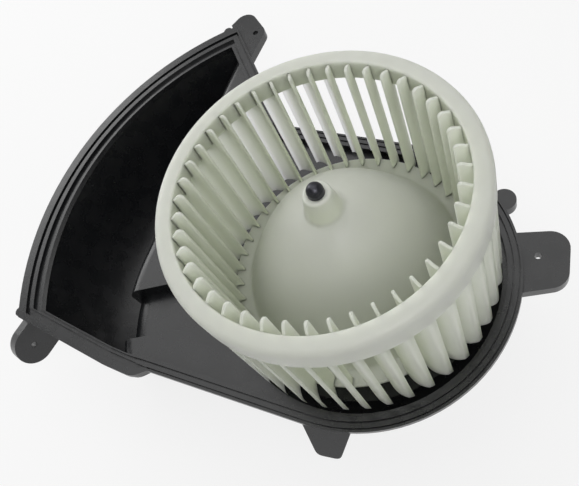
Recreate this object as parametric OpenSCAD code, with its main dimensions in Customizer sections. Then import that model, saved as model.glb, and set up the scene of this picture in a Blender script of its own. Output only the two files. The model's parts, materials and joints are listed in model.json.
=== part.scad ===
// Vehicle heater blower: scroll base with outlet duct, bladed wheel and permanent-magnet motor.
// Millimetres. +Z is up along the motor axis, and the origin is on that axis in the rim plane.

/* [Scroll base] */
// Outer radius of the round end of the rim
rim_r = 84; // [81:0.5:90]
// Width of the tongue-and-groove rim
rim_w = 7.6; // [7:0.2:9]
// Height of the rim moulding
rim_h = 9; // [8:0.5:11]
// Depth of the grooves in the rim
groove_d = 2; // [1.5:0.25:2.5]
// Depth of the flat floor below the rim plane
floor_d = 5; // [4:0.25:6]
// Wall thickness of the moulding
wall = 2.6; // [2.2:0.1:3]
// Depth of the dish under the wheel, below the floor
dish_d = 7; // [5:0.5:9]
// Height from the rim plane down to the underside
house_h = 80; // [78:0.5:86]
// Height of the ribs under the dish
rib_h = 11; // [8:0.5:14]
// Number of positions for ribs under the dish
rib_n = 10; // [6:1:12]

/* [Outlet] */
// Radius of the outlet's curved outer edge
outlet_r = 181.6; // [176:0.2:188]
// Distance of that curve's centre left of the axis
outlet_cx = 38.4; // [34:0.2:42]
// Distance of that curve's centre behind the axis
outlet_cy = 9.2; // [6:0.2:12]
// Width of the frame round the outlet at the curved edge
frame_w = 16.5; // [15:0.25:18]
// Width of the frame at the front edge
front_w = 11; // [10:0.25:12]
// Width of the frame at the end wall
end_w = 9; // [8:0.25:10]
// How far the outer duct wall leans in towards the bottom
duct_lean = 25; // [20:1:28]
// Distance of the outlet's front edge from the axis
front_y = 90.5; // [89:0.25:92]
// Slope of the outlet's front edge in degrees, halved between the step and the bend
front_tilt = 8.1; // [6:0.1:10]
// Distance of the bend in the front edge from the axis
front_bend = 126; // [122:0.5:130]
// Distance of the step in the front edge from the axis
step_x = 97; // [94:0.5:100]
// Distance of the end wall's foot from the axis
end_x = 79; // [77:0.5:83]
// Direction of the end wall in degrees
end_angle = 132; // [129:0.5:135]
// Radius of the hollow corner at the foot of the end wall
corner_r = 18; // [12:1:24]
// Distance of the duct's inner wall from the axis
duct_x = 138; // [135:0.5:142]
// Radius at which the inner wall bends towards the front
duct_bend_r = 116; // [108:1:130]
// Distance of the start of that bend in front of the axis
duct_bend_y = 19; // [15:0.5:23]
// Radius of the rolled floor edge above the duct
edge_r = 8; // [6:0.5:10]

/* [Cooling channel] */
// Width of the motor cooling channel
chan_w = 30; // [24:1:34]
// Depth of the channel below the floor
chan_d = 10; // [9:0.5:12]
// Direction of the channel from the axis in degrees
chan_angle = 206; // [203:0.5:209]
// Sideways offset of the channel from the axis
chan_shift = 5; // [3:0.5:7]
// Radius of the channel's rolled end
chan_edge_r = 12; // [9:0.5:14]

/* [Fixing ears] */
// Radius of the screw holes in the ears
ear_hole_r = 1.8; // [1.5:0.1:2.4]
// Thickness of the ears
ear_t = 6; // [5:0.5:8]
// Drop of the ears' top face below the rim plane
ear_drop = 3; // [2:0.5:3]

/* [Wheel] */
// Outer radius of the wheel's top ring
wheel_r = 75; // [72:0.5:78]
// Height of the ring's top above the rim plane
wheel_top = 90.5; // [88:0.5:94]
// Height of the blades' lower tips above the rim plane
wheel_gap = 5.5; // [4:0.5:7]
// Height of the ring's outer band
band_h = 13.3; // [11:0.1:16]
// Height of the skirt at the ring's inner edge
skirt_h = 10.5; // [8:0.25:12]
// Number of blades
blade_n = 42; // [36:1:46]
// Radial depth of the blades
blade_depth = 14.9; // [13.5:0.1:16.5]
// Bow of a blade's curve across its chord
blade_bow = 3; // [2:0.1:3.4]
// Blade thickness
blade_t = 1.7; // [1.4:0.1:2]
// Forward sweep of a blade's outer edge in degrees
blade_sweep = 4.7; // [4:0.1:5.5]
// Turn angle of the first blade's inner edge in degrees
blade_phase = 3.75; // [0:0.05:8.5]
// Rise of the blades' inner tips above the ring
blade_rise = 2.75; // [1.5:0.25:4]
// Height of the dome's peak above the rim plane
dome_top = 74.3; // [72:0.1:76]
// Radius squared over drop of the dome's curve
dome_k = 50; // [47:0.5:53]
// Reach of the hub plate under the blades
hub_over = 4.7; // [3.5:0.1:6]
// Height of the hub plate's top face
hub_z = 12; // [10:0.25:14]
// Wall thickness of the hub
hub_t = 2.2; // [1.8:0.1:2.6]
// Outer radius of the hub's boss
boss_r = 7; // [6.5:0.1:8]
// Height of the boss's top above the rim plane
boss_top = 81; // [79:0.5:83]

/* [Motor] */
// Shaft radius
shaft_r = 4; // [3.6:0.1:4.4]
// Height of the shaft's tip above the rim plane
shaft_top = 92.3; // [89:0.1:95]
// Outer radius of the motor can
can_r = 36; // [35:0.25:37]
// Wall thickness of the motor can
can_t = 2; // [1.6:0.1:2.2]
// Length of the motor can
can_len = 80; // [78:0.5:81]
// Height of the can's closed end above the rim plane
can_top = 30; // [28:0.5:31]
// Radial thickness of the field magnets
magnet_t = 6.2; // [5.4:0.1:6.6]
// Angle covered by each magnet in degrees
magnet_arc = 128; // [116:1:136]
// Air gap between armature and magnets
air_gap = 0.8; // [0.6:0.05:1.2]
// Length of the armature stack
core_len = 38; // [34:0.5:40]
// Number of armature slots and commutator bars
slot_n = 12; // [10:1:14]
// Radius of the commutator
comm_r = 11; // [10:0.25:12]
// Length of the commutator
comm_len = 12.5; // [11:0.25:13]
// Outer radius of the plain bearings
bush_r = 7.4; // [7:0.1:7.8]
// Length of the plain bearings
bush_len = 10.4; // [9.5:0.1:10.8]
// Width of a brush across the commutator
brush_w = 5; // [4:0.25:6]
// Height of a brush along the shaft
brush_h = 6; // [5:0.25:7]
// Length of a brush
brush_len = 9; // [8:0.25:10]

/* [Motor seat and cover] */
// Radial thickness of the rubber mounting rings
rubber_t = 5; // [4.5:0.25:6]
// Height of the upper rubber ring
rubber_h = 10; // [8:0.5:10]
// Height of the lower rubber ring
foot_h = 6; // [4.5:0.25:8]
// Height of the motor sleeve's top above the rim plane
sleeve_top = 7; // [7:0.5:9]
// Height of the cover under the motor
cover_h = 18; // [17.75:0.25:20]
// Number of cover screws
screw_n = 4; // [3:1:6]
// Radius of a cover screw's shank
screw_r = 2; // [1.6:0.1:2.2]
// Width of the plug socket
plug_w = 24; // [22:0.5:28]
// Height of the plug socket
plug_h = 11; // [10.5:0.25:11.25]
// Reach of the plug socket beyond the cover
plug_len = 22; // [18:0.5:26]

/* [Fits] */
// Radial running clearance of the shaft in its bearings
run_fit = 0.05; // [0.02:0.01:0.08]
// Clearance between fixed pieces
seat_fit = 0.1; // [0.05:0.01:0.2]
// Clearance round a sliding brush
slide_fit = 0.3; // [0.25:0.05:0.4]

/* [Hidden] */
$fn = 64;
over = 1;
far = 300;
back = 6;

// Insets of the outline, each as [round rim, curved edge, front edge, end wall]
outer_edge = [0, 0, 0, 0];
opening = [rim_w, frame_w, front_w, end_w];
function inset(shares) = [for (i = [0:3]) opening[i] * shares[i]];
lip_in = inset([0.16, 0.32, 0.39, 0.14]);
ridge1_out = inset([0.26, 0.46, 0.74, 0.25]);
ridge1_in = inset([0.56, 0.63, 0.81, 0.64]);
ridge2_out = inset([0.68, 0.91, 0.93, 0.76]);
under_flange = inset([0.30, 0.10, 0.10, 0.10]);
ear_root = inset([0.70, 0.70, 0.70, 0.70]);
inside_wall = [for (w = opening) w - wall / 2];

end_dir = [cos(end_angle), sin(end_angle)];
end_out = [sin(end_angle), -cos(end_angle)];
end_foot = [-end_x, rim_r];
corner_bite = 0.05;
flange_h = 3.2;
step_run = 8;
step_round = 4;
step_shift = 0.6;
outlet_c = [-outlet_cx, outlet_cy];
bend_c = [duct_bend_r - duct_x, -duct_bend_y];
floor_z = -floor_d;
dish_r = rim_r - rim_w;
dish_z = floor_z - dish_d;
dish_flat_r = dish_r - 1.5 * dish_d;
chan_z = floor_z - chan_d;
ear_z = -ear_drop - ear_t;

sleeve_in_r = can_r + rubber_t;
sleeve_r = sleeve_in_r + wall;
sleeve_lip = 2.5;
rib_t = 2.2;
screw_len = 16;
screw_head_r = 2 * screw_r;
screw_head_h = 1.4 * screw_r;
screw_boss_r = screw_head_r + 1.6;
screw_circle = sleeve_r + screw_head_r + 0.5;
screw_start = 45;

can_bot = can_top - can_len;
can_in_r = can_r - can_t;
can_lip = 3.5;
can_lip_h = 2;
can_under = can_top - can_t;
vent_r = 4.5;
plate_t = 2.5;
plate_z = can_bot - plate_t;
collar_top = plate_z - foot_h;
collar_h = 18.5;
collar_r = can_r + can_lip;
cover_t = 3;
cover_floor = collar_top - collar_h;
cover_bot = cover_floor - cover_t;
sleeve_bot = -cover_bot - cover_h;
cover_z = -sleeve_bot - cover_t;
foot_in_r = can_r - 3;
pocket_r = bush_r + 1.6;
cup_r = pocket_r + can_t;
retainer_t = 0.5;
upper_bush_z = can_under + seat_fit;
upper_cup_top = upper_bush_z + bush_len + 1.5;
lower_bush_z = can_bot - seat_fit - bush_len;
pad_t = 0.6;
pad_z = lower_bush_z - 1.4;
shaft_bot = pad_z + pad_t + slide_fit;

magnet_r = can_in_r - seat_fit;
magnet_in_r = magnet_r - magnet_t;
core_r = magnet_in_r - air_gap;
core_top = can_under - 14;
core_z = core_top - core_len;
slot_r = 0.125 * core_r;
slot_c = 0.74 * core_r;
slot_mouth = 2;
turn_h = 8;
turn_in_r = 0.45 * core_r;
turn_out_r = 0.92 * core_r;
magnet_over = 6;
comm_z = core_z - turn_h - 1.5 - comm_len;
comm_hub_r = 0.66 * comm_r;
comm_riser = 1.5;
comm_riser_h = 2;
bar_gap = 4;

card_t = 3;
card_r = can_in_r - seat_fit;
card_skirt = 3;
card_hole_r = comm_r + comm_riser + 0.8;
holder_t = 0.8;
brush_z = comm_z + comm_len / 2 - comm_riser_h / 2;
card_top = brush_z - brush_h / 2 - slide_fit - holder_t;
brush_in = comm_r + slide_fit;
holder_in = card_hole_r + 0.4;
holder_out = card_r - 1.5;
spring_wire_r = 0.35;
spring_r = 0.36 * min(brush_w, brush_h) - spring_wire_r;
spring_turns = 7;
spring_in = brush_in + brush_len + 0.05;
spring_out = holder_out - holder_t - 0.05;
choke_r = 2.4;
choke_coil_r = 3.8;
choke_len = 20;
choke_coil_len = 14;
choke_y = card_hole_r + choke_coil_r + 1.5;

boss_bot = dome_top - 16;
ring_round = 4.5;
ring_t = 2.2;
ring_edge = 1.2;
ring_slope = 0.5;
draft = 0.3;
blade_in_r = wheel_r - blade_depth;
blade_out_r = wheel_r - 0.1;
hub_r = blade_in_r + hub_over;
ring_in_r = hub_r - draft;
band_z = wheel_top - band_h;
skirt_z = wheel_top - skirt_h;
blade_top = wheel_top + blade_rise;
blade_crest = 2;
blade_shoulder = 2.2;
blade_root_z = hub_z - hub_t / 2;
clip_t = 1;
clip_r = boss_r + 1.5;

vent_n = 6;
vent_in_r = 14;
vent_w = 3.2;
vent_len = 16;
plug_wall = 1.8;
plug_lift = 0.5;
plug_z = cover_floor + plug_lift + plug_h / 2;
plug_in = sleeve_r - wall - 2;
plug_out = sleeve_r + plug_len;
plug_back = sleeve_r + 3;
tab_w = 6.3;
tab_t = 0.8;
tab_x = 4;
tab_inset = 12;
tab_end = 6;
tab_y = can_r - tab_inset;

// Outline of the base in plan

// A point on the end wall's line, moved in by e
function end_point(t, e) = end_foot + t * end_dir - e * end_out;

// A point on the outlet's front line at distance x left of the axis, moved in by f
function front_point(x, f) =
    [-x, -front_y + f / cos(front_tilt) + (min(x, front_bend) - step_x) * tan(front_tilt / 2)
        + max(x - front_bend, 0) * tan(front_tilt)];

// A corner at b on the way from a to c, rounded off over the length r on each side
function rounded(a, b, c, r) =
    let (p = b + r * (a - b) / norm(a - b), q = b + r * (c - b) / norm(c - b))
    [for (t = [0:0.25:1]) (1 - t) * (1 - t) * p + 2 * t * (1 - t) * b + t * t * q];

// Foot of the slanted step in the front edge, and the front edge from inside the foot to its far end
function step_foot(i) = [-step_x - step_shift * i[2], i[0] - rim_r];
function front_edge(i) =
    let (foot = step_foot(i), bend = front_point(front_bend, i[2]),
        top = front_point(step_x + step_run + step_shift * i[2], i[2]))
    concat([foot + (foot - top) / 2], rounded(foot, top, bend, step_round),
        [bend, front_point(far, i[2])]);

// Where the far straight side meets the end wall
function end_corner(i) =
    end_point((i[3] * cos(180 - end_angle) - i[0]) / sin(end_angle), i[3]);

module plan(i) {
    side = rim_r - i[0];
    corner = end_corner(i);
    round_r = corner_r + i[0];
    height = round_r - corner_bite;
    reach = height / tan(end_angle / 2);
    centre = corner + [reach, height];
    intersection() {
        circle(side);
        translate([0, -rim_r]) square([rim_r + over, 2 * rim_r]);
    }
    polygon([[0, side], [0, -side], step_foot(i) - [step_run / 2, 0], [-step_x, 0], corner - [back, 0]]);
    intersection() {
        translate(outlet_c) circle(outlet_r - i[1]);
        polygon(concat(front_edge(i), [[-far, far], end_point(far, i[3]), end_point(-back, i[3])]));
    }
    difference() {
        polygon([corner - back * end_out - [0, back], corner + [reach, -back], centre,
            corner + reach * end_dir - back * end_out]);
        translate(centre) circle(round_r);
    }
}

// Everything on the wheel's side of the duct's inner wall, moved towards the wheel by o
module wheel_side(o) {
    intersection() {
        translate(bend_c) circle(duct_bend_r - o);
        translate([-far, -far - duct_bend_y]) square([far + bend_c[0], far]);
    }
    translate([o - duct_x, -duct_bend_y]) square([far, far]);
    translate([bend_c[0], -far]) square([far, far]);
}

// Air space of the outlet duct, grown by o at its outer walls and by oi at its inner wall
module duct_space(o, oi, z0, z1) {
    top_r = outlet_r - frame_w + o;
    slope = duct_lean / (house_h - rim_h);
    intersection() {
        translate([outlet_c[0], outlet_c[1], z0])
            cylinder(h = z1 - z0, r1 = top_r + (z0 + rim_h) * slope, r2 = top_r + (z1 + rim_h) * slope);
        translate([0, 0, z0]) linear_extrude(z1 - z0) difference() {
            polygon([front_point(step_x, front_w - o), front_point(front_bend, front_w - o),
                front_point(far, front_w - o), [-far, far], end_point(far, end_w - o),
                end_point(-back, end_w - o)]);
            wheel_side(oi);
        }
    }
}

// Section of the rolled edge between a floor at height zf and the duct's inner wall

module edge_square(er, zf) {
    translate([duct_bend_r - er, zf - er]) square(er);
}

module edge_hollow(er, zf) {
    intersection() {
        translate([duct_bend_r - er, zf - er]) circle(er - wall);
        edge_square(er, zf);
    }
}

module edge_roll(er, zf) {
    intersection() {
        difference() {
            translate([duct_bend_r - er, zf - er]) circle(er);
            translate([duct_bend_r - er, zf - er]) circle(er - wall);
        }
        edge_square(er, zf);
    }
}

module edge_trim(er, zf) {
    translate([duct_bend_r - er, zf - er]) difference() {
        square(er + over);
        circle(er);
    }
}

module along_edge() {
    translate([bend_c[0], bend_c[1], 0]) {
        rotate(180) rotate_extrude(angle = 36) children();
        rotate([90, 0, 180]) linear_extrude(far / 1.5) children();
    }
}

// Prism along the cooling channel, widened by o on each side
module chan_prism(o, z0, z1, r0) {
    rotate(chan_angle) translate([r0, -chan_w / 2 - chan_shift - o, z0])
        cube([duct_x + chan_w - r0, chan_w + 2 * o, z1 - z0]);
}

// Rim moulding: a thin flange with the grooves in it, on a wall that is set in
module rim_frame() {
    difference() {
        union() {
            translate([0, 0, -flange_h]) linear_extrude(flange_h) plan(outer_edge);
            translate([0, 0, -rim_h]) linear_extrude(rim_h - groove_d) plan(under_flange);
        }
        translate([0, 0, -rim_h - over]) linear_extrude(rim_h + 2 * over) plan(opening);
        translate([0, 0, -groove_d]) linear_extrude(groove_d + over) {
            difference() {
                plan(lip_in);
                plan(ridge1_out);
            }
            difference() {
                plan(ridge1_in);
                plan(ridge2_out);
            }
        }
    }
}

module floor_plate() {
    translate([0, 0, floor_z - wall]) linear_extrude(wall) difference() {
        intersection() {
            plan(inside_wall);
            wheel_side(edge_r);
        }
        circle(dish_r - wall);
    }
    rotate_extrude() polygon([[dish_r + over, floor_z], [dish_r, floor_z], [dish_flat_r, dish_z],
        [sleeve_in_r + over, dish_z], [sleeve_in_r + over, dish_z - wall],
        [dish_flat_r - wall / 2, dish_z - wall], [dish_r - wall / 2, floor_z - wall],
        [dish_r + over, floor_z - wall]]);
}

module motor_sleeve() {
    rotate_extrude() {
        translate([sleeve_in_r, -sleeve_bot]) square([wall, sleeve_top + sleeve_bot]);
        translate([sleeve_in_r - sleeve_lip, sleeve_top - sleeve_lip])
            square([sleeve_lip + over, sleeve_lip]);
    }
    for (k = [0:rib_n - 1]) {
        angle = chan_angle + 180 * (2 * k + 1) / rib_n;
        if (abs(sin((angle - chan_angle) / 2)) > 0.35)
            rotate(angle) translate([sleeve_in_r + over, -rib_t / 2, dish_z - rib_h])
                cube([dish_flat_r - sleeve_in_r, rib_t, rib_h - over]);
    }
    at_screws() translate([0, 0, -sleeve_bot]) cylinder(h = screw_len + 4, r = screw_boss_r);
}

module at_screws() {
    for (k = [0:screw_n - 1]) rotate(screw_start + 360 * k / screw_n)
        translate([screw_circle, 0, 0]) children();
}

// Fixing ears, each in its own edge's frame

module at_end_wall() {
    translate(end_foot) rotate(end_angle) mirror([0, 1, 0]) children();
}

end_ear_hole = [86.7, 9.8];
end_ear_tip = [99.5, 6.5];
end_ear_foot = [66, 38];
side_ear_angle = 19;
side_ear_hole = [rim_r + 7.6, 2.8];
side_ear_w = 34;
pin_angle = 44.5;
low_ear_angle = -83;
low_ear_len = 20;
low_ear_w = [26, 12.6];
low_ear_tilt = 54;
lug_foot = [-190.7, -78.6, -3];
lug_turn = -11.5;
lug_tilt = 70;
lug_w = 24.3;
lug_t = 7.5;
lug_reach = 10;
nub_r = 3;
nubs = [[-198.3, -74.8], [-149, 151.9]];

module ears() {
    difference() {
        ear_plates();
        translate([0, 0, -groove_d]) linear_extrude(groove_d + over) plan(lip_in);
        translate([0, 0, -house_h]) linear_extrude(house_h) plan(ear_root);
    }
    front_lug();
}

module ear_hole(at) {
    translate([at[0], at[1], -over]) cylinder(h = ear_t + 2 * over, r = ear_hole_r);
}

module ear_plates() {
    translate([0, 0, ear_z]) {
        at_end_wall() difference() {
            linear_extrude(ear_t) hull() {
                translate(end_ear_hole) circle(6.6, $fn = 32);
                translate(end_ear_tip) circle(8, $fn = 32);
                translate([end_ear_foot[0], -under_flange[3] - 2 * over]) square([end_ear_foot[1], over]);
            }
            ear_hole(end_ear_hole);
        }
        rotate(side_ear_angle) difference() {
            linear_extrude(ear_t) hull() {
                translate([rim_r + 14, 6.5]) circle(9.5, $fn = 32);
                translate([rim_r + 12, -6]) circle(9.5, $fn = 32);
                translate([rim_r - rim_w, -side_ear_w / 2]) square([2, side_ear_w]);
            }
            ear_hole(side_ear_hole);
        }
        rotate(pin_angle) translate([rim_r + 2.5, 0, 0]) cylinder(h = ear_t, r = 6.5);
    }
    rotate(low_ear_angle) translate([rim_r - rim_w / 2, 0, -rim_h / 2]) rotate([0, low_ear_tilt, 0])
        linear_extrude(wall) low_ear_plan();
    for (at = nubs) translate([at[0], at[1], -flange_h]) cylinder(h = flange_h, r = nub_r);
}

// Tapered tongue with round corners at its end
module low_ear_plan() {
    foot = [0, low_ear_w[0] / 2];
    tip = [low_ear_len, low_ear_w[1] / 2];
    edge = rounded(foot, tip, [low_ear_len, 0], 3);
    polygon(concat([foot], edge, [for (k = [len(edge) - 1:-1:0]) [edge[k][0], -edge[k][1]]],
        [[0, -low_ear_w[0] / 2]]));
}

// Upright lug at the front of the outlet, leaning back, with a round end and a hole
module front_lug() {
    round_r = lug_w / 2;
    translate(lug_foot) rotate([0, lug_tilt, lug_turn]) difference() {
        translate([0, 0, -lug_t]) linear_extrude(lug_t) {
            translate([0, -lug_reach]) square([lug_w, lug_reach + front_w]);
            intersection() {
                translate([round_r, -lug_reach]) circle(round_r);
                translate([0, -lug_reach - lug_w]) square([lug_w, lug_w]);
            }
        }
        translate([round_r, -lug_reach, -lug_t - over]) cylinder(h = lug_t + 2 * over, r = ear_hole_r);
    }
}

// Outer walls reach up to the frame, and the inner wall up to the rolled floor edge
module duct_walls() {
    duct_space(wall, wall, -house_h, floor_z - edge_r);
    duct_space(wall, 0, floor_z - edge_r, floor_z);
    intersection() {
        along_edge() edge_roll(edge_r, floor_z);
        translate([0, 0, floor_z - edge_r]) linear_extrude(edge_r) plan(inside_wall);
    }
}

// Trough that leads cooling air from the duct to the motor
module channel_walls() {
    difference() {
        intersection() {
            chan_prism(wall, chan_z - wall, floor_z, sleeve_r - over);
            translate([0, 0, chan_z - wall]) linear_extrude(chan_d + wall) wheel_side(0);
        }
        along_edge() edge_trim(edge_r, floor_z);
    }
    intersection() {
        along_edge() edge_square(chan_edge_r, chan_z);
        chan_prism(wall, chan_z - chan_edge_r, chan_z, sleeve_r);
    }
}

module channel_space() {
    chan_prism(0, chan_z, floor_z + over, sleeve_in_r - over);
    intersection() {
        along_edge() {
            edge_trim(chan_edge_r, chan_z);
            edge_hollow(chan_edge_r, chan_z);
        }
        chan_prism(0, chan_z - chan_edge_r, chan_z + over, sleeve_in_r);
    }
}

module scroll_base() {
    color("#2b2c2e") difference() {
        union() {
            rim_frame();
            floor_plate();
            motor_sleeve();
            ears();
            duct_walls();
            channel_walls();
        }
        duct_space(0, 0, -house_h - over, floor_z + over);
        channel_space();
        at_screws() translate([0, 0, -sleeve_bot - over])
            cylinder(h = screw_len - cover_t + 2 * over, r = screw_r + seat_fit);
        translate([0, 0, -sleeve_bot - over]) cylinder(h = sleeve_bot, r = sleeve_in_r);
    }
}

// Cover under the motor, with its screws and plug socket

module motor_cover() {
    cup_in_r = sleeve_r - wall;
    window_y = collar_r - 2 * wall;
    color("#26272a") difference() {
        union() {
            translate([0, 0, cover_z]) {
                cylinder(h = cover_t, r = sleeve_r);
                at_screws() cylinder(h = cover_t, r = screw_boss_r);
            }
            translate([0, 0, cover_bot]) cylinder(h = cover_h - cover_t + over, r = sleeve_r);
            translate([0, 0, cover_floor]) cylinder(h = collar_top - cover_floor, r = collar_r);
        }
        translate([0, 0, cover_floor]) {
            difference() {
                cylinder(h = house_h, r = cup_in_r);
                translate([0, 0, -over]) cylinder(h = house_h + 2 * over, r = collar_r);
            }
            cylinder(h = house_h, r = collar_r - wall);
        }
        at_screws() translate([0, 0, cover_z - over])
            cylinder(h = cover_t + 2 * over, r = screw_r + seat_fit);
        translate([-plug_w / 2 - seat_fit, window_y, plug_z - plug_h / 2 - seat_fit])
            cube([plug_w + 2 * seat_fit, far, plug_h + 2 * seat_fit]);
        for (k = [0:vent_n - 1]) rotate(360 * k / vent_n)
            translate([vent_in_r, -vent_w / 2, cover_bot - over])
                cube([vent_len, vent_w, cover_t + 2 * over]);
    }
}

module cover_screws() {
    color("#a8abad") at_screws() translate([0, 0, cover_z]) difference() {
        union() {
            translate([0, 0, -screw_head_h]) cylinder(h = screw_head_h, r = screw_head_r);
            cylinder(h = screw_len - over, r = screw_r);
        }
        translate([0, 0, -screw_head_h - over]) cylinder(h = screw_head_h / 2 + over, r = screw_r, $fn = 6);
    }
}

module plug_socket() {
    color("#3a3b3d") difference() {
        translate([-plug_w / 2, plug_in, plug_z - plug_h / 2])
            cube([plug_w, plug_out - plug_in, plug_h]);
        translate([-plug_w / 2 + plug_wall, plug_back, plug_z - plug_h / 2 + plug_wall])
            cube([plug_w - 2 * plug_wall, far, plug_h - 2 * plug_wall]);
        for (side = [-1, 1]) translate([side * tab_x - tab_t / 2 - seat_fit, 0, plug_z - tab_w / 2 - seat_fit])
            cube([tab_t + 2 * seat_fit, far, tab_w + 2 * seat_fit]);
    }
}

module terminal_blades() {
    color("#c8b27a") for (side = [-1, 1]) translate([side * tab_x + tab_t / 2, 0, 0]) rotate([0, -90, 0])
        linear_extrude(tab_t) {
            translate([plug_z - tab_w / 2, tab_y]) square([tab_w, plug_out - tab_end - tab_y]);
            translate([plug_z, tab_y]) square([card_top - card_t - plug_z, tab_w]);
        }
}

// Rubber rings that carry the motor

module upper_rubber_ring() {
    top = sleeve_top - sleeve_lip;
    color("#1d1d1e") difference() {
        translate([0, 0, top - rubber_h]) cylinder(h = rubber_h, r = sleeve_in_r - seat_fit);
        translate([0, 0, top - rubber_h - over]) cylinder(h = rubber_h + 2 * over, r = can_r + seat_fit);
        for (k = [0:11]) rotate(30 * k) translate([sleeve_in_r, 0, top - rubber_h - over])
            cylinder(h = rubber_h + 2 * over, r = rubber_t / 3);
    }
}

module lower_rubber_ring() {
    color("#1d1d1e") translate([0, 0, collar_top]) difference() {
        cylinder(h = foot_h, r = can_r + can_lip);
        translate([0, 0, -over]) cylinder(h = foot_h + 2 * over, r = foot_in_r);
        for (k = [0:11]) rotate(30 * k) translate([can_r + can_lip, 0, -over])
            cylinder(h = foot_h + 2 * over, r = 1.2);
    }
}

// Motor body

module motor_can() {
    color("#9fa3a6") difference() {
        union() {
            translate([0, 0, can_bot]) cylinder(h = can_len, r = can_r);
            translate([0, 0, can_bot]) cylinder(h = can_lip_h, r = can_r + can_lip);
            translate([0, 0, can_under]) cylinder(h = upper_cup_top - can_under, r = cup_r);
        }
        translate([0, 0, can_bot - over]) cylinder(h = can_len - can_t + over, r = can_in_r);
        translate([0, 0, can_under - over])
            cylinder(h = upper_bush_z + bush_len + seat_fit - can_under + over, r = pocket_r);
        translate([0, 0, can_under]) cylinder(h = far, r = shaft_r + 1.2);
        for (k = [0:3]) rotate(45 + 90 * k) translate([0.6 * can_r, 0, can_under - over])
            cylinder(h = can_t + 2 * over, r = vent_r);
    }
}

module end_plate() {
    color("#9fa3a6") difference() {
        union() {
            translate([0, 0, plate_z]) cylinder(h = plate_t, r = can_r + can_lip);
            translate([0, 0, pad_z - can_t]) cylinder(h = can_bot - pad_z + can_t, r = cup_r);
        }
        translate([0, 0, pad_z]) cylinder(h = can_bot - pad_z + over, r = pocket_r);
        for (side = [-1, 1]) translate([side * tab_x - tab_t / 2 - over, tab_y - over, plate_z - over])
            cube([tab_t + 2 * over, tab_w + 2 * over, plate_t + 2 * over]);
        for (k = [0:2]) rotate(180 + 90 * k) translate([0.62 * can_r, 0, plate_z - over])
            cylinder(h = plate_t + 2 * over, r = 5);
    }
}

module field_magnets() {
    color("#4a4745") for (pole = [90, 270]) rotate(pole - magnet_arc / 2)
        rotate_extrude(angle = magnet_arc)
            translate([magnet_in_r, core_z - magnet_over]) square([magnet_t, core_len + 2 * magnet_over]);
}

module magnet_clips() {
    gap = 180 - magnet_arc - 2;
    color("#b9bcbf") for (side = [0, 180]) rotate(side - gap / 2) translate([0, 0, core_z]) {
        rotate_extrude(angle = gap) translate([magnet_r - 1, 0]) square([1, core_len]);
        for (a = [0.8, gap - 0.8]) rotate(a) translate([magnet_r - magnet_t, -0.4, 0])
            cube([magnet_t - 0.5, 0.8, core_len]);
    }
}

module bush(z) {
    translate([0, 0, z]) difference() {
        cylinder(h = bush_len, r = bush_r);
        translate([0, 0, -over]) cylinder(h = bush_len + 2 * over, r = shaft_r + run_fit);
    }
}

module upper_bush() {
    color("#b08a4e") bush(upper_bush_z);
}

module lower_bush() {
    color("#b08a4e") bush(lower_bush_z);
}

module oil_felts() {
    color("#d8d2c0") for (z = [upper_bush_z, lower_bush_z]) translate([0, 0, z + 1]) difference() {
        cylinder(h = bush_len - 2, r = pocket_r - seat_fit);
        translate([0, 0, -over]) cylinder(h = bush_len, r = bush_r + seat_fit);
    }
}

module bush_retainers() {
    color("#b9bcbf") for (z = [can_under - retainer_t, can_bot]) translate([0, 0, z]) difference() {
        cylinder(h = retainer_t, r = cup_r);
        translate([0, 0, -over]) cylinder(h = retainer_t + 2 * over, r = shaft_r + 0.8);
        for (k = [0:5]) rotate(60 * k) translate([shaft_r, -0.6, -over])
            cube([3.8, 1.2, retainer_t + 2 * over]);
    }
}

module thrust_pad() {
    color("#e4e1d8") translate([0, 0, pad_z]) cylinder(h = pad_t, r = bush_r);
}

// Brush gear

module brush_card() {
    color("#5a3f2c") difference() {
        union() {
            translate([0, 0, card_top - card_t]) cylinder(h = card_t, r = card_r);
            translate([0, 0, can_bot]) cylinder(h = card_top - can_bot, r = card_r);
        }
        translate([0, 0, can_bot - over])
            cylinder(h = card_top - card_t - can_bot + over, r = card_r - card_skirt);
        translate([0, 0, can_bot]) cylinder(h = far, r = card_hole_r);
    }
}

module brush_side(side) {
    rotate(side > 0 ? 0 : 180) children();
}

module brush_holders() {
    inner_w = brush_w + 2 * slide_fit;
    inner_h = brush_h + 2 * slide_fit;
    color("#c9a756") for (side = [-1, 1]) brush_side(side) difference() {
        translate([holder_in, -inner_w / 2 - holder_t, card_top])
            cube([holder_out - holder_in, inner_w + 2 * holder_t, inner_h + 2 * holder_t]);
        translate([holder_in - over, -inner_w / 2, card_top + holder_t])
            cube([holder_out - holder_in - holder_t + over, inner_w, inner_h]);
    }
}

module brush(side) {
    brush_side(side) difference() {
        translate([brush_in - 0.6, -brush_w / 2, brush_z - brush_h / 2])
            cube([brush_len + 0.6, brush_w, brush_h]);
        translate([0, 0, comm_z - over]) cylinder(h = comm_len + 2 * over, r = brush_in);
    }
}

module brush_left() {
    color("#3b3a3c") brush(-1);
}

module brush_right() {
    color("#3b3a3c") brush(1);
}

// Coil spring along +X as one swept tube
spring_step = 30;
spring_sides = 6;
spring_rings = spring_turns * 360 / spring_step;

function spring_point(k, j) =
    let (turn = k * spring_step, a = j * 360 / spring_sides, r = spring_r + spring_wire_r * cos(a))
    [spring_in + spring_wire_r + (spring_out - spring_in - 2 * spring_wire_r) * k / spring_rings
        + spring_wire_r * sin(a), r * cos(turn), r * sin(turn)];

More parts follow.
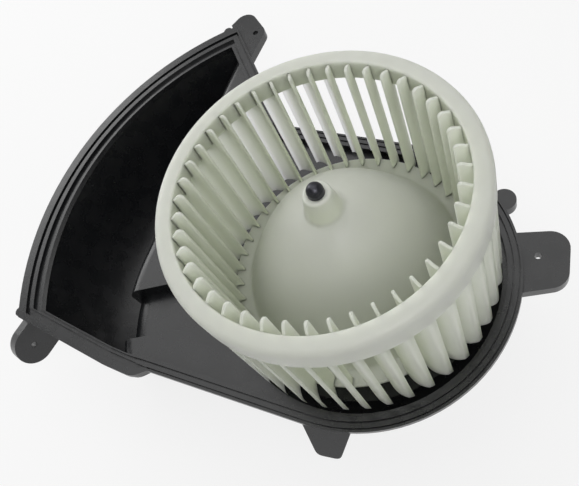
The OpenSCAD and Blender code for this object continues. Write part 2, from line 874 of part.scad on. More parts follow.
module spring(side) {
    s = spring_sides;
    brush_side(side) translate([0, 0, brush_z]) polyhedron(
        points = [for (k = [0:spring_rings], j = [0:s - 1]) spring_point(k, j)],
        faces = concat(
            [[for (j = [0:s - 1]) s - 1 - j]],
            [for (k = [0:spring_rings - 1], j = [0:s - 1])
                [k * s + j, k * s + (j + 1) % s, (k + 1) * s + (j + 1) % s, (k + 1) * s + j]],
            [[for (j = [0:s - 1]) spring_rings * s + j]]));
}

module spring_left() {
    color("#c4c7c9") spring(-1);
}

module spring_right() {
    color("#c4c7c9") spring(1);
}

module at_chokes() {
    for (side = [-1, 1]) translate([0, side * choke_y, card_top + choke_coil_r]) rotate([0, 90, 0])
        children();
}

module choke_cores() {
    color("#55524f") at_chokes() cylinder(h = choke_len, r = choke_r, center = true);
}

module choke_coils() {
    color("#b5703a") at_chokes() difference() {
        cylinder(h = choke_coil_len, r = choke_coil_r, center = true);
        cylinder(h = choke_coil_len + over, r = choke_r + seat_fit, center = true);
    }
}

// Rotor

module shaft() {
    color("#54575a") {
        translate([0, 0, shaft_bot]) cylinder(h = shaft_top - shaft_r - shaft_bot, r = shaft_r);
        translate([0, 0, shaft_top - shaft_r]) sphere(shaft_r);
    }
}

module shaft_bore() {
    translate([0, 0, -far / 2]) cylinder(h = far, r = shaft_r + seat_fit / 2);
}

module armature_core() {
    color("#77797b") difference() {
        translate([0, 0, core_z]) cylinder(h = core_len, r = core_r);
        shaft_bore();
        for (k = [0:slot_n - 1]) rotate(360 * k / slot_n) translate([0, 0, core_z - over]) {
            translate([slot_c, 0, 0]) cylinder(h = core_len + 2 * over, r = slot_r);
            translate([slot_c, -slot_mouth / 2, 0])
                cube([core_r, slot_mouth, core_len + 2 * over]);
        }
    }
}

module armature_windings() {
    turn_round = 3;
    color("#b5703a") {
        for (k = [0:slot_n - 1]) rotate(360 * k / slot_n)
            translate([slot_c, 0, core_z - turn_h / 2])
                cylinder(h = core_len + turn_h, r = slot_r - seat_fit);
        for (flip = [0, 1]) translate([0, 0, flip == 0 ? core_top : core_z]) mirror([0, 0, flip])
            rotate_extrude() {
                translate([turn_in_r, 0]) square([turn_out_r - turn_in_r, turn_h - turn_round]);
                translate([turn_in_r + turn_round, turn_h - turn_round]) circle(turn_round);
                translate([turn_out_r - turn_round, turn_h - turn_round]) circle(turn_round);
                translate([turn_in_r + turn_round, 0])
                    square([turn_out_r - turn_in_r - 2 * turn_round, turn_h]);
            }
    }
}

module commutator_hub() {
    color("#6b4a2f") difference() {
        translate([0, 0, comm_z]) cylinder(h = comm_len, r = comm_hub_r);
        shaft_bore();
    }
}

module commutator_bars() {
    color("#b5703a") for (k = [0:slot_n - 1]) rotate(360 * k / slot_n + bar_gap / 2)
        translate([0, 0, comm_z]) rotate_extrude(angle = 360 / slot_n - bar_gap)
            polygon([[comm_hub_r + seat_fit, 0], [comm_r, 0], [comm_r, comm_len - comm_riser_h],
                [comm_r + comm_riser, comm_len - comm_riser_h], [comm_r + comm_riser, comm_len],
                [comm_hub_r + seat_fit, comm_len]]);
}

module thrust_washers() {
    color("#e4e1d8") for (z = [can_under - retainer_t - 1.6, comm_z - 1.2]) translate([0, 0, z])
        difference() {
            cylinder(h = 1.2, r = bush_r - 0.6);
            translate([0, 0, -over]) cylinder(h = 3 * over + 1, r = shaft_r + seat_fit / 2);
        }
}

// Blower wheel

function dome_z(r) = dome_top - r * r / dome_k;
dome_foot_r = sqrt((dome_top - hub_z) * dome_k);
dome_steps = 12;

module dome_profile() {
    polygon(concat(
        [for (k = [0:dome_steps]) let (r = dome_foot_r * k / dome_steps) [r, dome_z(r)]],
        [[hub_r, hub_z], [hub_r, hub_z - hub_t]],
        [for (k = [dome_steps:-1:0]) let (r = (dome_foot_r - hub_t) * k / dome_steps)
            [r, dome_z(r) - hub_t * sqrt(1 + pow(2 * r / dome_k, 2))]]));
}

// Ring as an upturned channel: band outside, rounded top, skirt inside
module ring_profile() {
    round_r = wheel_r - ring_round;
    round_z = wheel_top - ring_round;
    polygon(concat(
        [[wheel_r, band_z]],
        [for (a = [0:15:90]) [round_r + ring_round * cos(a), round_z + ring_round * sin(a)]],
        [[ring_in_r + ring_edge, wheel_top - ring_slope], [ring_in_r, wheel_top - ring_slope - ring_edge],
            [ring_in_r + draft, skirt_z], [ring_in_r + ring_t, skirt_z],
            [ring_in_r + ring_t, wheel_top - 2 * ring_t], [round_r, wheel_top - ring_t],
            [wheel_r - ring_t, round_z], [wheel_r - ring_t, band_z]]));
}

blade_tip = blade_out_r * [cos(blade_sweep), sin(blade_sweep)];
blade_run = blade_tip - [blade_in_r, 0];
blade_chord = norm(blade_run);
blade_lean = atan2(blade_run[1], blade_run[0]);
blade_curve_r = (blade_chord * blade_chord / 4 + blade_bow * blade_bow) / (2 * blade_bow);

// One blade in plan: an arc that bows backwards between its inner and outer edges
module blade_plan() {
    difference() {
        intersection() {
            translate([blade_in_r, 0]) rotate(blade_lean) intersection() {
                translate([blade_chord / 2, blade_curve_r - blade_bow]) difference() {
                    circle(blade_curve_r + blade_t / 2);
                    circle(blade_curve_r - blade_t / 2);
                }
                translate([-blade_t, -blade_bow - blade_t])
                    square([blade_chord + 2 * blade_t, blade_bow + 3 * blade_t]);
            }
            circle(blade_out_r);
        }
        circle(blade_in_r);
    }
}

// Side view of all blades: round shoulder at the inner edge, round heel below the hub plate
module blade_sheath() {
    outer = blade_out_r + over;
    reach = outer - hub_r + draft;
    drop = blade_root_z - wheel_gap;
    inner = blade_in_r - draft;
    polygon(concat(
        [[inner, blade_root_z]],
        [for (a = [0:18:90]) [outer - reach * cos(a), blade_root_z - drop * sin(a)]],
        [[outer, band_z + ring_t],
            [wheel_r - ring_t / 2, band_z + ring_t], [wheel_r - ring_round, wheel_top - ring_t / 2],
            [ring_in_r + ring_t / 2, wheel_top - ring_t]],
        [for (a = [0:22.5:90]) [inner + blade_crest * (1 - sin(a)),
            blade_top - blade_shoulder * (1 - cos(a))]]));
}

// The wheel is one moulding, kept as three solids that meet face to face

module wheel_hub() {
    color("#e6eadb") difference() {
        union() {
            rotate_extrude() dome_profile();
            translate([0, 0, boss_bot]) cylinder(h = boss_top - boss_bot, r = boss_r);
        }
        shaft_bore();
    }
}

module wheel_ring() {
    color("#e6eadb") rotate_extrude() ring_profile();
}

module wheel_blades() {
    color("#e6eadb") difference() {
        intersection() {
            translate([0, 0, wheel_gap - over]) linear_extrude(blade_top - wheel_gap + 2 * over)
                for (k = [0:blade_n - 1]) rotate(blade_phase + 360 * k / blade_n) blade_plan();
            rotate_extrude() blade_sheath();
        }
        rotate_extrude() ring_profile();
        rotate_extrude() dome_profile();
    }
}

module wheel_clip() {
    color("#b9bcbf") translate([0, 0, boss_bot - clip_t]) difference() {
        cylinder(h = clip_t, r = clip_r);
        translate([0, 0, -over]) cylinder(h = clip_t + 2 * over, r = shaft_r + seat_fit / 2);
        for (k = [0:3]) rotate(90 * k) translate([shaft_r - 0.5, -0.5, -over])
            cube([2.2, 1, clip_t + 2 * over]);
    }
}

scroll_base();
motor_cover();
cover_screws();
upper_rubber_ring();
lower_rubber_ring();
motor_can();
end_plate();
field_magnets();
magnet_clips();
upper_bush();
lower_bush();
oil_felts();
bush_retainers();
thrust_pad();
brush_card();
brush_holders();
brush_left();
brush_right();
spring_left();
spring_right();
choke_cores();
choke_coils();
plug_socket();
terminal_blades();
shaft();
armature_core();
armature_windings();
commutator_hub();
commutator_bars();
thrust_washers();
wheel_hub();
wheel_ring();
wheel_blades();
wheel_clip();
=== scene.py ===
import json
import math

import bmesh
import bpy
from mathutils import Matrix, Quaternion, Vector


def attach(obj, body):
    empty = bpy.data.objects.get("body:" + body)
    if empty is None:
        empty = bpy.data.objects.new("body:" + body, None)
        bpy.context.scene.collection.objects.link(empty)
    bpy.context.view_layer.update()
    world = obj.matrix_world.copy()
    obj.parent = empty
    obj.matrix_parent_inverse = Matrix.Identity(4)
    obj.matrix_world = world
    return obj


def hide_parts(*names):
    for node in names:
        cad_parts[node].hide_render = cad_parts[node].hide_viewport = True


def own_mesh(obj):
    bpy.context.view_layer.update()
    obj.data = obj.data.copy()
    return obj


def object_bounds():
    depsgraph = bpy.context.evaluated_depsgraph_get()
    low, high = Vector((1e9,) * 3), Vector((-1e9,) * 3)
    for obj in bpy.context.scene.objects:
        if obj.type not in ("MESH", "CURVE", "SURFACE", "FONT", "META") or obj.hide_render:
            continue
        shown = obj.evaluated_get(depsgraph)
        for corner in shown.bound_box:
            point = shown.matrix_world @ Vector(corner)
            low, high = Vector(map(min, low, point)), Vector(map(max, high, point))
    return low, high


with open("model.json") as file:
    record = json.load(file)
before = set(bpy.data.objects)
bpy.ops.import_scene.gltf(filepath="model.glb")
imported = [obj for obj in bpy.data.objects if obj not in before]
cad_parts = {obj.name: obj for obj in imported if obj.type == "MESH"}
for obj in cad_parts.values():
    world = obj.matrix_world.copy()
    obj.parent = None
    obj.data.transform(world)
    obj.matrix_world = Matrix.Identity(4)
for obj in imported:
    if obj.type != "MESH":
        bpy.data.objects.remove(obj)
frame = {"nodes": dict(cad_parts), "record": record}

# Sizes are in metres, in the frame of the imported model

MM = 0.001
NODES = frame["nodes"]
CAD_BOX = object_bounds()
SLOT_OF = {row["node"]: row["material_slot"] for row in frame["record"]["subparts"]}
BODIES = frame["record"]["behaviour"]["bodies"]
BODY_OF = {node: body for body, members in BODIES.items() for node in members}

# Camera, fitted to the photograph's frame of 579 by 486 pixels
CAMERA_AT = Vector((0.1208, -0.1250, 0.3413))
CAMERA_AIM = Vector((-0.0447, 0.0084, 0.0))
CAMERA_ROLL = math.radians(-33.8)
CAMERA_LENS = 44.28
SENSOR_WIDTH = 36

# Wheel as a whole
WHEEL_NODES = ("wheel_hub", "wheel_ring", "wheel_blades")
WHEEL_R = 75 * MM
WHEEL_TOP = 91.9 * MM

# Ring: its band is outside, its skirt inside
BAND_Z = 77.2 * MM
BAND_ROUND = 0.5 * MM
SKIRT_Z = 80 * MM
SKIRT_ROUND = 0.4 * MM
SKIRT_DRAFT = 0.3 * MM
RING_IN_R = 66.4 * MM
RING_T = 2.2 * MM
RING_ROUND = 8 * MM
RING_LIP_ROUND = 1.2 * MM
RING_HOLLOW_ROUND = 1 * MM

# Blades
BLADE_N = 43
BLADE_IN_R = 60.1 * MM
BLADE_OUT_R = 74.3 * MM
BLADE_T = 1.4 * MM
BLADE_EDGE_T = 0.7 * MM
BLADE_BOW = 2.6 * MM
BLADE_SWEEP = math.radians(4.9)
BLADE_PHASE = math.radians(3.9)
BLADE_RISE = 1.3 * MM
BLADE_CREST = 2.6 * MM
BLADE_SHOULDER = 2.4 * MM
BLADE_TIP_Z = 5.5 * MM
BLADE_BEVEL = 0.25 * MM
BLADE_IN_BAND = 0.3 * MM

# Hub: a dome whose height falls with the square of the radius, on a flat plate, with a boss on top
DOME_TOP = 74.3 * MM
DOME_K = 50 * MM
DOME_STEPS = 22
HUB_R = 64.8 * MM
HUB_Z = 12 * MM
HUB_T = 2.2 * MM
HUB_ROUND = 0.5 * MM
FOOT_FILLET = 2.4 * MM
FOOT_FILLET_IN = 1.2 * MM
FOOT_FILLET_OUT = 0.2 * MM
BOSS_R = 6.6 * MM
BOSS_FOOT_R = 8.8 * MM
BOSS_TOP = 86.5 * MM
BOSS_BOTTOM = 58.3 * MM
BOSS_ROUND = 2.4 * MM
BOSS_FILLET = 4 * MM
BOSS_FILLET_RUN = 3 * MM
BORE_R = 4.05 * MM
BOSS_EDGE_ROUND = 0.4 * MM

# Duct, whose front wall leans in towards its foot
DUCT_FOOT_Z = -79 * MM
DUCT_DRAFT = 9 * MM
DRAFT_FROM_Y = -20 * MM
DRAFT_FULL_Y = -70 * MM

# Pieces that keep their solid's form, each with its name and the width of its softened edges
SOFT_EDGES = {
    "motor_cover": ("cover", 0.5 * MM),
    "plug_socket": ("socket", 0.3 * MM),
    "cover_screws": ("screws", 0.25 * MM),
    "terminal_blades": ("terminals", 0.12 * MM),
    "motor_can": ("can", 0.5 * MM),
    "end_plate": ("plate", 0.3 * MM),
}
BASE_EDGE = 0.35 * MM


# Mesh helpers

def link(obj):
    bpy.context.scene.collection.objects.link(obj)
    return obj


def mesh_piece(name, bm, smooth_angle=35):
    """A new object from a bmesh, shaded smooth where its faces meet at less than the angle."""
    bmesh.ops.recalc_face_normals(bm, faces=bm.faces)
    mesh = bpy.data.meshes.new(name)
    bm.to_mesh(mesh)
    bm.free()
    mesh.shade_smooth()
    mesh.set_sharp_from_angle(angle=math.radians(smooth_angle))
    return link(bpy.data.objects.new(name, mesh))


def rounded(corners, steps=5):
    """A polyline through [(r, z, radius)], with each corner turned into a curve close to an arc."""
    longest_share = 0.49
    points = []
    count = len(corners)
    for i, (r, z, radius) in enumerate(corners):
        here = Vector((r, z))
        back = Vector(corners[i - 1][:2]) - here
        ahead = Vector(corners[(i + 1) % count][:2]) - here
        if radius <= 0 or back.length == 0 or ahead.length == 0:
            points.append(here)
            continue
        half = back.angle(ahead) / 2
        longest = longest_share * min(back.length, ahead.length)
        reach = min(radius / math.tan(half), longest)
        start = here + back.normalized() * reach
        end = here + ahead.normalized() * reach
        for k in range(steps + 1):
            t = k / steps
            points.append(start * (1 - t) ** 2 + here * (2 * t * (1 - t)) + end * t ** 2)
    return points


def revolve(bm, profile, steps):
    """Adds a closed profile of (r, z) points, turned about the motor axis."""
    rings = []
    for k in range(steps):
        turn = 2 * math.pi * k / steps
        rings.append([bm.verts.new((p[0] * math.cos(turn), p[0] * math.sin(turn), p[1])) for p in profile])
    for k in range(steps):
        here = rings[k]
        there = rings[(k + 1) % steps]
        for i in range(len(profile)):
            j = (i + 1) % len(profile)
            bm.faces.new((here[i], there[i], there[j], here[j]))


def finish_piece(piece, nodes, body, material):
    """Puts the material on a piece that stands for some nodes and rides on their body."""
    piece.data.materials.clear()
    piece.data.materials.append(material)
    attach(piece, body)
    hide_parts(*nodes)
    return piece


# Material helpers

def new_material(name, color, roughness, metallic=0.0, specular=0.5):
    """A plain material, with its node tree and its shader."""
    material = bpy.data.materials.new(name)
    material.use_nodes = True
    shader = material.node_tree.nodes["Principled BSDF"]
    shader.inputs["Base Color"].default_value = (*color, 1)
    shader.inputs["Roughness"].default_value = roughness
    shader.inputs["Metallic"].default_value = metallic
    shader.inputs["Specular IOR Level"].default_value = specular
    return material, material.node_tree, shader


def noise(tree, scale, detail=4.0, stretch=(1, 1, 1)):
    """Noise in the object's own frame; scale is in features per metre."""
    place = tree.nodes.new("ShaderNodeTexCoord")
    mapping = tree.nodes.new("ShaderNodeMapping")
    mapping.inputs["Scale"].default_value = stretch
    texture = tree.nodes.new("ShaderNodeTexNoise")
    texture.inputs["Scale"].default_value = scale
    texture.inputs["Detail"].default_value = detail
    tree.links.new(place.outputs["Object"], mapping.inputs["Vector"])
    tree.links.new(mapping.outputs["Vector"], texture.inputs["Vector"])
    return texture.outputs["Fac"]


def spread(tree, source, low, high, start=0.35, end=0.65):
    """A value from low to high as the source goes from start to end."""
    node = tree.nodes.new("ShaderNodeMapRange")
    node.inputs["From Min"].default_value = start
    node.inputs["From Max"].default_value = end
    node.inputs["To Min"].default_value = low
    node.inputs["To Max"].default_value = high
    tree.links.new(source, node.inputs["Value"])
    return node.outputs["Result"]


def two_tone(tree, source, color_a, color_b, start=0.35, end=0.65):
    """Colour from a to b as the source goes from start to end."""
    ramp = tree.nodes.new("ShaderNodeValToRGB")
    ramp.color_ramp.elements[0].position = start
    ramp.color_ramp.elements[0].color = (*color_a, 1)
    ramp.color_ramp.elements[1].position = end
    ramp.color_ramp.elements[1].color = (*color_b, 1)
    tree.links.new(source, ramp.inputs["Fac"])
    return ramp.outputs["Color"]


def bump(tree, shader, source, height):
    """Relief of a height, from a noise."""
    node = tree.nodes.new("ShaderNodeBump")
    node.inputs["Strength"].default_value = 1
    node.inputs["Distance"].default_value = height
    tree.links.new(source, node.inputs["Height"])
    tree.links.new(node.outputs["Normal"], shader.inputs["Normal"])


def moulded(name, color, worn, roughness, grain=1400, grain_height=0.03 * MM, specular=0.5):
    """Moulded or pressed material: fine grain, soft blotches of gloss and a little pale rubbing."""
    material, tree, shader = new_material(name, color, roughness, specular=specular)
    blotch = noise(tree, scale=28, detail=5)
    tree.links.new(two_tone(tree, blotch, color, worn), shader.inputs["Base Color"])
    patches = noise(tree, scale=90, detail=3)
    gloss = spread(tree, patches, low=roughness - 0.03, high=roughness + 0.04)
    tree.links.new(gloss, shader.inputs["Roughness"])
    bump(tree, shader, noise(tree, scale=grain, detail=2), grain_height)
    return material


def metal(name, color, dark, roughness, scale=140, stretch=(1, 1, 1), height=0.02 * MM):
    """Bare or plated metal, with marks that run along an axis where its stretch is small."""
    material, tree, shader = new_material(name, color, roughness, metallic=1.0)
    marks = noise(tree, scale, detail=5, stretch=stretch)
    tree.links.new(two_tone(tree, marks, dark, color), shader.inputs["Base Color"])
    gloss = spread(tree, marks, low=roughness + 0.1, high=roughness - 0.05)
    tree.links.new(gloss, shader.inputs["Roughness"])
    bump(tree, shader, marks, height)
    return material


def ivory_plastic():
    """Natural ivory polymer, translucent, with faint flow marks."""
    color = (0.765, 0.81, 0.65)
    pale = (0.79, 0.835, 0.68)
    material, tree, shader = new_material("ivory_plastic", color, roughness=0.42, specular=0.4)
    flow = noise(tree, scale=22, detail=4, stretch=(1, 1, 0.35))
    tree.links.new(two_tone(tree, flow, color, pale), shader.inputs["Base Color"])
    patches = noise(tree, scale=160, detail=3)
    tree.links.new(spread(tree, patches, low=0.36, high=0.5), shader.inputs["Roughness"])
    bump(tree, shader, noise(tree, scale=900, detail=2), height=0.012 * MM)
    shader.inputs["Subsurface Weight"].default_value = 1
    shader.inputs["Subsurface Radius"].default_value = (1, 1, 1)
    shader.inputs["Subsurface Scale"].default_value = 12 * MM
    return material


def material_set():
    """One material for each slot that the record names."""
    return {
        "black_plastic": moulded(
            "black_plastic", (0.006, 0.0065, 0.0075), (0.008, 0.0085, 0.0095), 0.27, specular=0.7),
        "socket_plastic": moulded(
            "socket_plastic", (0.030, 0.030, 0.032), (0.042, 0.042, 0.045), 0.5),
        "ivory_plastic": ivory_plastic(),
        "rubber": moulded(
            "rubber", (0.018, 0.018, 0.018), (0.030, 0.029, 0.028), 0.72,
            grain=700, grain_height=0.05 * MM, specular=0.3),
        "zinc_steel": metal(
            "zinc_steel", (0.62, 0.63, 0.62), (0.50, 0.51, 0.50), 0.32, scale=220, stretch=(1, 1, 0.1)),
        "spring_steel": metal(
            "spring_steel", (0.58, 0.59, 0.60), (0.45, 0.46, 0.48), 0.25, scale=300),
        "shaft_steel": metal(
            "shaft_steel", (0.075, 0.075, 0.085), (0.05, 0.05, 0.058), 0.36, scale=500, stretch=(1, 1, 3)),
        "core_steel": metal(
            "core_steel", (0.30, 0.30, 0.31), (0.17, 0.17, 0.18), 0.45,
            scale=2400, stretch=(0.02, 0.02, 1)),
        "ferrite": moulded(
            "ferrite", (0.055, 0.052, 0.050), (0.08, 0.077, 0.073), 0.7,
            grain=900, grain_height=0.05 * MM, specular=0.4),
        "bronze": metal(
            "bronze", (0.50, 0.32, 0.14), (0.32, 0.20, 0.09), 0.5, scale=1600, height=0.04 * MM),
        "brass": metal(
            "brass", (0.68, 0.51, 0.22), (0.55, 0.40, 0.16), 0.3, scale=240, stretch=(1, 1, 0.15)),
        "copper": metal(
            "copper", (0.55, 0.24, 0.12), (0.36, 0.13, 0.06), 0.35, scale=1300, stretch=(0.1, 0.1, 1)),
        "carbon": moulded(
            "carbon", (0.028, 0.028, 0.030), (0.055, 0.055, 0.058), 0.55,
            grain=2000, grain_height=0.02 * MM),
        "phenolic": moulded(
            "phenolic", (0.13, 0.065, 0.035), (0.19, 0.10, 0.055), 0.5, grain=500),
        "nylon": moulded(
            "nylon", (0.72, 0.70, 0.64), (0.78, 0.76, 0.71), 0.45),
        "felt": moulded(
            "felt", (0.48, 0.43, 0.33), (0.66, 0.61, 0.50), 0.95,
            grain=1600, grain_height=0.25 * MM, specular=0.1),
    }


# Wheel

def ring_profile():
    """Section of the ring: a channel that opens downwards, with its band outside and its skirt inside."""
    return rounded([
        (WHEEL_R, BAND_Z, BAND_ROUND),
        (WHEEL_R, WHEEL_TOP, RING_ROUND),
        (RING_IN_R, WHEEL_TOP, RING_LIP_ROUND),
        (RING_IN_R + SKIRT_DRAFT, SKIRT_Z, SKIRT_ROUND),
        (RING_IN_R + RING_T, SKIRT_Z, SKIRT_ROUND),
        (RING_IN_R + RING_T, WHEEL_TOP - RING_T, RING_HOLLOW_ROUND),
        (WHEEL_R - RING_T, WHEEL_TOP - RING_T, RING_ROUND - RING_T),
        (WHEEL_R - RING_T, BAND_Z, BAND_ROUND),
    ])


def dome_z(r):
    """Height of the dome's outer face."""
    return DOME_TOP - r * r / DOME_K


def under_dome_z(r):
    """Height of the dome's inner face, for a wall of even thickness."""
    slope = 2 / DOME_K
    return dome_z(r) - HUB_T * math.hypot(1, slope * r)


def hub_profile():
    """Section of the hub: down the outside from the boss to the plate's edge, and back up underneath."""
    foot_r = math.sqrt((DOME_TOP - HUB_Z) * DOME_K)
    first = BOSS_FOOT_R + BOSS_FILLET_RUN
    last = foot_r - FOOT_FILLET_IN
    outer = [first + (last - first) * k / DOME_STEPS for k in range(DOME_STEPS + 1)]
    under_foot = foot_r - HUB_T
    under = [under_foot - (under_foot - BOSS_R) * k / DOME_STEPS for k in range(DOME_STEPS + 1)]
    corners = [
        (BORE_R, BOSS_TOP, BOSS_EDGE_ROUND),
        (BOSS_R, BOSS_TOP, BOSS_ROUND),
        (BOSS_FOOT_R, dome_z(BOSS_FOOT_R), BOSS_FILLET),
    ]
    corners += [(r, dome_z(r), 0) for r in outer]
    corners += [
        (foot_r + FOOT_FILLET_OUT, HUB_Z, FOOT_FILLET),
        (HUB_R, HUB_Z, HUB_ROUND),
        (HUB_R, HUB_Z - HUB_T, HUB_ROUND),
        (under_foot, HUB_Z - HUB_T, 0),
    ]
    corners += [(r, under_dome_z(r), 0) for r in under[1:]]
    corners += [(BOSS_R, BOSS_BOTTOM, BOSS_EDGE_ROUND), (BORE_R, BOSS_BOTTOM, 0)]
    return rounded(corners)


def blade_top(r):
    """Height of a blade's top edge: a round shoulder, a slope into the ring, and the ring's underside."""
    crest = BLADE_IN_R + BLADE_CREST
    peak = WHEEL_TOP + BLADE_RISE
    ring_r = RING_IN_R + RING_T / 2
    if r < crest:
        across = min((crest - r) / BLADE_CREST, 1)
        return peak - BLADE_SHOULDER * (1 - math.sqrt(1 - across ** 2))
    if r < ring_r:
        return peak - (BLADE_RISE + RING_T) * (r - crest) / (ring_r - crest)
    if r < WHEEL_R - RING_T:
        return WHEEL_TOP - RING_T
    return BAND_Z + BLADE_IN_BAND


def blade_bottom(r):
    """Height of a blade's lower edge: a quarter ellipse from the hub plate down to the outer tip."""
    root = HUB_Z - HUB_T / 2
    if r <= HUB_R:
        return root
    across = min((r - HUB_R) / (BLADE_OUT_R - HUB_R), 1)
    return root - (root - BLADE_TIP_Z) * math.sqrt(1 - (1 - across) ** 2)


def blade_rows():
    """One blade as rows of points from its inner to its outer edge, each row a loop round the section.

    In plan the blade's middle is an arc. Its inner edge is round, and it thins towards its outer edge.
    """
    root = Vector((BLADE_IN_R, 0))
    chord = BLADE_OUT_R * Vector((math.cos(BLADE_SWEEP), math.sin(BLADE_SWEEP))) - root
    span = chord.length
    curve_r = (span ** 2 / 4 + BLADE_BOW ** 2) / (2 * BLADE_BOW)
    turn = math.asin(span / 2 / curve_r)
    to_chord = Matrix.Rotation(math.atan2(chord.y, chord.x), 2)
    steps = 16
    crowding = 1.3
    past_tip = 0.15
    thinning = 3
    thinnest = 0.25
    crown = 0.6
    rows = []
    for k in range(steps + 1):
        share = (k / steps) ** crowding
        angle = (2 * turn + past_tip) * share - turn
        sag = curve_r * (1 - math.cos(angle)) - BLADE_BOW
        middle = Vector((span / 2 + curve_r * math.sin(angle), sag))
        across = Vector((-math.sin(angle), math.cos(angle)))
        inside = min(2 * share * span / BLADE_T, 1)
        taper = BLADE_T + (BLADE_EDGE_T - BLADE_T) * share ** thinning
        thick = taper / 2 * max(math.sqrt(1 - (1 - inside) ** 2), thinnest)
        row = []
        for way in (1, -1):
            ends = []
            for size in (crown, 1):
                point = root + to_chord @ (middle + across * thick * size * way)
                point *= min(1, BLADE_OUT_R / point.length)
                ends.append(point)
            edge, face = ends
            low = blade_bottom(face.length)
            high = blade_top(face.length)
            loop = [(edge, low), (face, low + BLADE_BEVEL), (face, high - BLADE_BEVEL), (edge, high)]
            row += loop if way > 0 else reversed(loop)
        rows.append([(p.x, p.y, z) for p, z in row])
    return rows


def add_blade(bm, rows, turn):
    """Adds a closed blade from its rows, turned about the motor axis."""
    about_axis = Matrix.Rotation(turn, 3, "Z")
    made = [[bm.verts.new(about_axis @ Vector(p)) for p in row] for row in rows]
    count = len(made[0])
    for here, there in zip(made, made[1:]):
        for i in range(count):
            j = (i + 1) % count
            bm.faces.new((here[i], there[i], there[j], here[j]))
    bm.faces.new(made[0])
    bm.faces.new(list(reversed(made[-1])))


def add_wheel(materials):
    """The whole wheel as one piece: ring, hub and blades."""
    steps = 4 * BLADE_N
    bm = bmesh.new()
    revolve(bm, ring_profile(), steps)
    revolve(bm, hub_profile(), steps)
    rows = blade_rows()
    for k in range(BLADE_N):
        add_blade(bm, rows, BLADE_PHASE + 2 * math.pi * k / BLADE_N)
    wheel = mesh_piece("wheel", bm)
    return finish_piece(wheel, WHEEL_NODES, "rotor", materials["ivory_plastic"])


# Copies of solids

def lean_duct(bm):
    """Moves the foot of the duct's front wall back, so that it leans in as a moulding does."""
    for vert in bm.verts:
        if vert.co.z < DUCT_FOOT_Z:
            share = (DRAFT_FROM_Y - vert.co.y) / (DRAFT_FROM_Y - DRAFT_FULL_Y)
            vert.co.y += DUCT_DRAFT * min(max(share, 0), 1)


def soft_copy(node, name, width, materials, angle=32, reshape=None):
    """A copy of a node's solid whose edges are rounded off by width."""
    bm = bmesh.new()
    bm.from_mesh(NODES[node].data)
    if reshape:
        reshape(bm)
    same_point = 0.001 * MM
    flat = math.radians(0.5)
    bmesh.ops.remove_doubles(bm, verts=bm.verts, dist=same_point)
    bmesh.ops.dissolve_limit(bm, angle_limit=flat, verts=bm.verts, edges=bm.edges)
    piece = mesh_piece(name, bm, angle)
    # Normals that came with the solid don't fit the rounded edges
    for extra in [a for a in piece.data.attributes if a.name == "custom_normal"]:
        piece.data.attributes.remove(extra)
    bevel = piece.modifiers.new("soft_edges", "BEVEL")
    bevel.width = width
    bevel.segments = 2
    bevel.limit_method = "ANGLE"
    bevel.angle_limit = math.radians(angle)
    bevel.use_clamp_overlap = True
    shade = piece.modifiers.new("flat_faces", "WEIGHTED_NORMAL")
    shade.keep_sharp = True
    return finish_piece(piece, (node,), BODY_OF[node], materials[SLOT_OF[node]])


def add_soft_copies(materials):
    """Softened copies of the base and of the pieces in SOFT_EDGES."""
    soft_copy("scroll_base", "base", BASE_EDGE, materials, reshape=lean_duct)
    for node, (name, width) in SOFT_EDGES.items():
        soft_copy(node, name, width, materials)


def add_spring(side, materials):
    """A copy of a brush spring's solid, with its own mesh, that rides on the spring's body."""
    node = "spring_" + side
    spring = link(bpy.data.objects.new("coil_" + side, NODES[node].data.copy()))
    spring.matrix_world = NODES[node].matrix_world
    finish_piece(spring, (node,), BODY_OF[node], materials[SLOT_OF[node]])
    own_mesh(spring)


def dress_nodes(materials):
    """Puts each node's material on its solid, for the pieces that are shown as they are."""
    for node, obj in NODES.items():
        obj.data.materials.clear()
        obj.data.materials.append(materials[SLOT_OF[node]])


# Stage

def floor_material():
    """Pale floor. Seen directly, mirrored or through a clear piece, it is mostly a plain white glow."""
    glow_share = 0.8
    grey = 0.82
    material = bpy.data.materials.new("floor_white")
    material.use_nodes = True
    tree = material.node_tree
    tree.nodes.clear()
    seen = tree.nodes.new("ShaderNodeLightPath")
    mirrored = tree.nodes.new("ShaderNodeMath")
    mirrored.operation = "MAXIMUM"
    through = tree.nodes.new("ShaderNodeMath")
    through.operation = "MAXIMUM"
    share = tree.nodes.new("ShaderNodeMath")
    share.operation = "MULTIPLY"
    share.inputs[1].default_value = glow_share
    diffuse = tree.nodes.new("ShaderNodeBsdfDiffuse")
    diffuse.inputs["Color"].default_value = (grey, grey, grey, 1)
    glow = tree.nodes.new("ShaderNodeEmission")
    glow.inputs["Strength"].default_value = 1
    mix = tree.nodes.new("ShaderNodeMixShader")
    out = tree.nodes.new("ShaderNodeOutputMaterial")
    tree.links.new(seen.outputs["Is Camera Ray"], mirrored.inputs[0])
    tree.links.new(seen.outputs["Is Glossy Ray"], mirrored.inputs[1])
    tree.links.new(mirrored.outputs[0], through.inputs[0])
    tree.links.new(seen.outputs["Is Transmission Ray"], through.inputs[1])
    tree.links.new(through.outputs[0], share.inputs[0])
    tree.links.new(share.outputs[0], mix.inputs[0])
    tree.links.new(diffuse.outputs[0], mix.inputs[1])
    tree.links.new(glow.outputs[0], mix.inputs[2])
    tree.links.new(mix.outputs[0], out.inputs["Surface"])
    return material


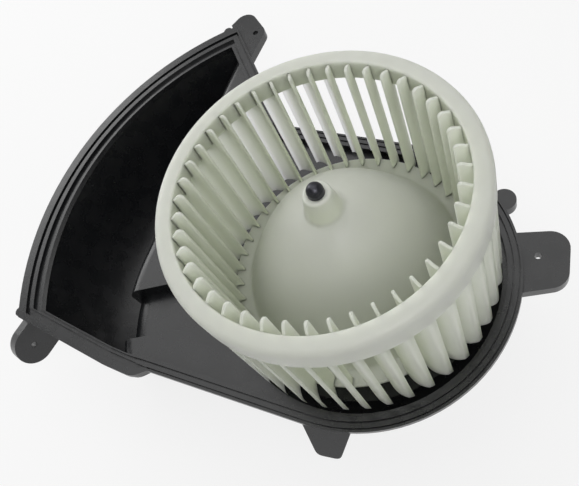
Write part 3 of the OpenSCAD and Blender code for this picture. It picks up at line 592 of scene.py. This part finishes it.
def add_floor():
    """Floor that turns up into a backdrop far from the object and keeps the object's shadow."""
    flat_r = 3
    turn_r = 1.2
    sides = 96
    floor_z = CAD_BOX[0][2]
    arc_steps = 8
    arc_step = 10
    arc = [math.radians(arc_step * k) for k in range(arc_steps + 1)]
    profile = [(flat_r + turn_r * math.sin(a), floor_z + turn_r * (1 - math.cos(a))) for a in arc]
    around = [2 * math.pi * k / sides for k in range(sides)]
    bm = bmesh.new()
    rings = [[bm.verts.new((r * math.cos(a), r * math.sin(a), z)) for a in around] for r, z in profile]
    bm.faces.new(rings[0])
    for here, there in zip(rings, rings[1:]):
        for k in range(sides):
            bm.faces.new((here[k - 1], here[k], there[k], there[k - 1]))
    floor = mesh_piece("floor", bm)
    floor.data.materials.append(floor_material())


def add_softbox(name, direction, distance, size, power):
    """A square soft light that looks at the camera's aim from a direction."""
    data = bpy.data.lights.new(name, "AREA")
    data.shape = "SQUARE"
    data.size = size
    data.energy = power
    lamp = link(bpy.data.objects.new(name, data))
    way = Vector(direction).normalized()
    lamp.location = CAMERA_AIM + way * distance
    lamp.rotation_euler = way.to_track_quat("Z", "Y").to_euler()


def add_lights():
    """A large light overhead, a low one from the left, one from the camera's side, and a dim even sky."""
    sky_strength = 0.17
    world = bpy.data.worlds.new("studio")
    bpy.context.scene.world = world
    world.use_nodes = True
    sky = world.node_tree.nodes["Background"]
    sky.inputs["Color"].default_value = (1, 1, 1, 1)
    sky.inputs["Strength"].default_value = sky_strength
    add_softbox("key", direction=(-0.22, 0.3, 0.88), distance=1.0, size=1.3, power=6.2)
    add_softbox("side", direction=(-0.87, 0.3, 0.38), distance=1.0, size=0.6, power=2.5)
    add_softbox("fill", direction=(0.45, -0.4, 0.82), distance=1.2, size=0.7, power=5.2)


def add_camera():
    """The camera that was fitted to the photograph."""
    data = bpy.data.cameras.new("camera")
    data.sensor_fit = "HORIZONTAL"
    data.sensor_width = SENSOR_WIDTH
    data.lens = CAMERA_LENS
    camera = link(bpy.data.objects.new("camera", data))
    camera.location = CAMERA_AT
    level = (CAMERA_AIM - CAMERA_AT).to_track_quat("-Z", "Y")
    camera.rotation_euler = (level @ Quaternion((0, 0, 1), CAMERA_ROLL)).to_euler()
    bpy.context.scene.camera = camera


# The scene

bpy.context.scene.view_settings.view_transform = "Standard"
add_camera()
add_lights()
add_floor()
MATERIALS = material_set()
dress_nodes(MATERIALS)
add_wheel(MATERIALS)
add_soft_copies(MATERIALS)
for side in ("left", "right"):
    add_spring(side, MATERIALS)
